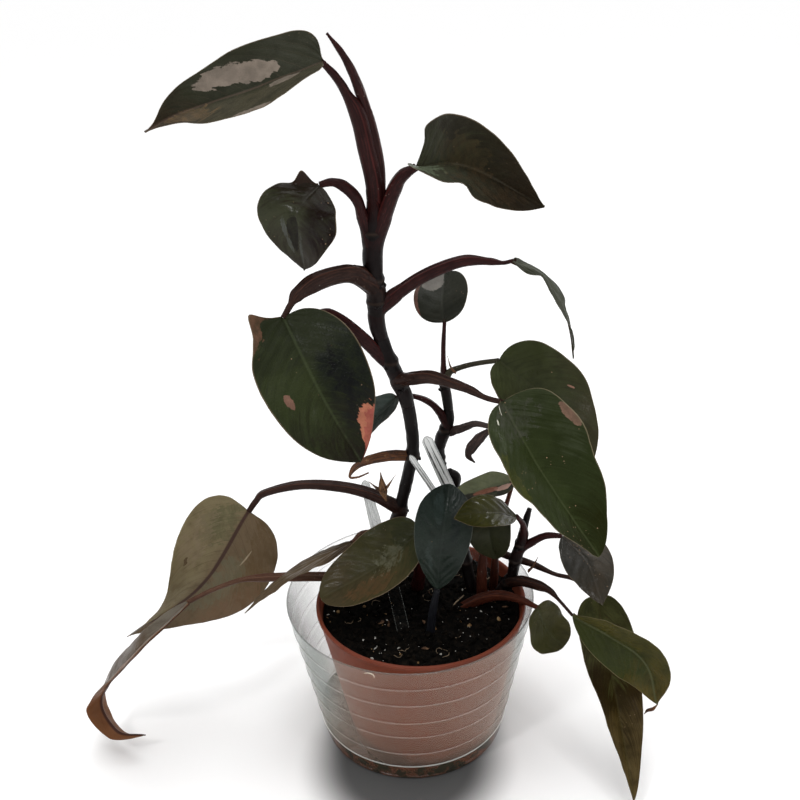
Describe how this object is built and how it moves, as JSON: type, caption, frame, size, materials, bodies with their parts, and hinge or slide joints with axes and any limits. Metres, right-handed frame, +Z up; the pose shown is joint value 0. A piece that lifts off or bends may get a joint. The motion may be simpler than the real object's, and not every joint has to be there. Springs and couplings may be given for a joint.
{
  "type": "pink princess philodendron in nursery pot",
  "caption": "Climbing aroid house plant with dark heart-shaped leaves, some with pink patches, in a terracotta-coloured nursery pot inside a clear ribbed pot.",
  "frame": {"origin": "middle of the clear outer pot's underside, on the surface it stands on", "axes": "+Z up along the pots; -Y towards the side the main leaves face; +X to the right seen from there"},
  "size_m": [0.3796, 0.1764, 0.4594],
  "materials": {
    "clear_plastic": "clear moulded plastic, clouded and scratched",
    "clear_stake": "clear flat plastic strip, scuffed",
    "terracotta_plastic": "thin terracotta-coloured nursery plastic",
    "potting_mix": "damp black potting mix with perlite and bark",
    "stem": "near-black fleshy stem with ringed nodes",
    "sheath": "satin maroon leaf sheath",
    "petiole": "satin maroon-brown leaf stalk",
    "dry": "dry papery brown",
    "leaf_green": "glossy dark green leaf, some pink patches",
    "leaf_blue_green": "satin blue-green leaf",
    "leaf_olive": "satin olive leaf with taupe underside",
    "leaf_bronze": "satin bronze-brown leaf"
  },
  "bodies": {
    "root": {"clear_outer_pot": "clear_plastic", "nursery_pot": "terracotta_plastic", "potting_soil": "potting_mix", "main_stem": "stem", "second_stem": "stem", "third_stem": "stem", "new_leaf_spike": "sheath", "dry_petiole": "dry", "withered_leaf_petiole": "dry", "withered_leaf": "dry", "clear_stake_left": "clear_stake", "clear_stake_right": "clear_stake", "clear_stake_back": "clear_stake", "leaf_01_blade": "leaf_green", "leaf_01_petiole": "petiole", "leaf_02_blade": "leaf_green", "leaf_02_petiole": "petiole", "leaf_03_blade": "leaf_blue_green", "leaf_03_petiole": "sheath", "leaf_04_blade": "leaf_green", "leaf_04_petiole": "sheath", "leaf_05_blade": "leaf_green", "leaf_05_petiole": "sheath", "leaf_06_blade": "leaf_green", "leaf_06_petiole": "sheath", "leaf_07_blade": "leaf_green", "leaf_07_petiole": "sheath", "leaf_08_blade": "leaf_olive", "leaf_08_petiole": "petiole", "leaf_09_blade": "leaf_blue_green", "leaf_09_petiole": "petiole", "leaf_10_blade": "leaf_blue_green", "leaf_10_petiole": "petiole", "leaf_11_blade": "leaf_olive", "leaf_11_petiole": "petiole", "leaf_12_blade": "leaf_bronze", "leaf_12_petiole": "sheath", "leaf_13_blade": "leaf_olive", "leaf_13_petiole": "petiole", "leaf_14_blade": "leaf_olive", "leaf_14_petiole": "sheath", "leaf_15_blade": "leaf_blue_green", "leaf_15_petiole": "petiole", "leaf_16_blade": "leaf_green", "leaf_16_petiole": "petiole", "leaf_17_blade": "leaf_green", "leaf_17_petiole": "sheath", "leaf_18_blade": "leaf_green", "leaf_18_petiole": "sheath", "leaf_19_blade": "leaf_bronze", "leaf_19_petiole": "petiole", "leaf_20_blade": "leaf_olive", "leaf_20_petiole": "sheath", "leaf_21_blade": "leaf_green", "leaf_21_petiole": "sheath", "leaf_22_blade": "leaf_bronze", "leaf_22_petiole": "petiole"}
  },
  "joints": []
}
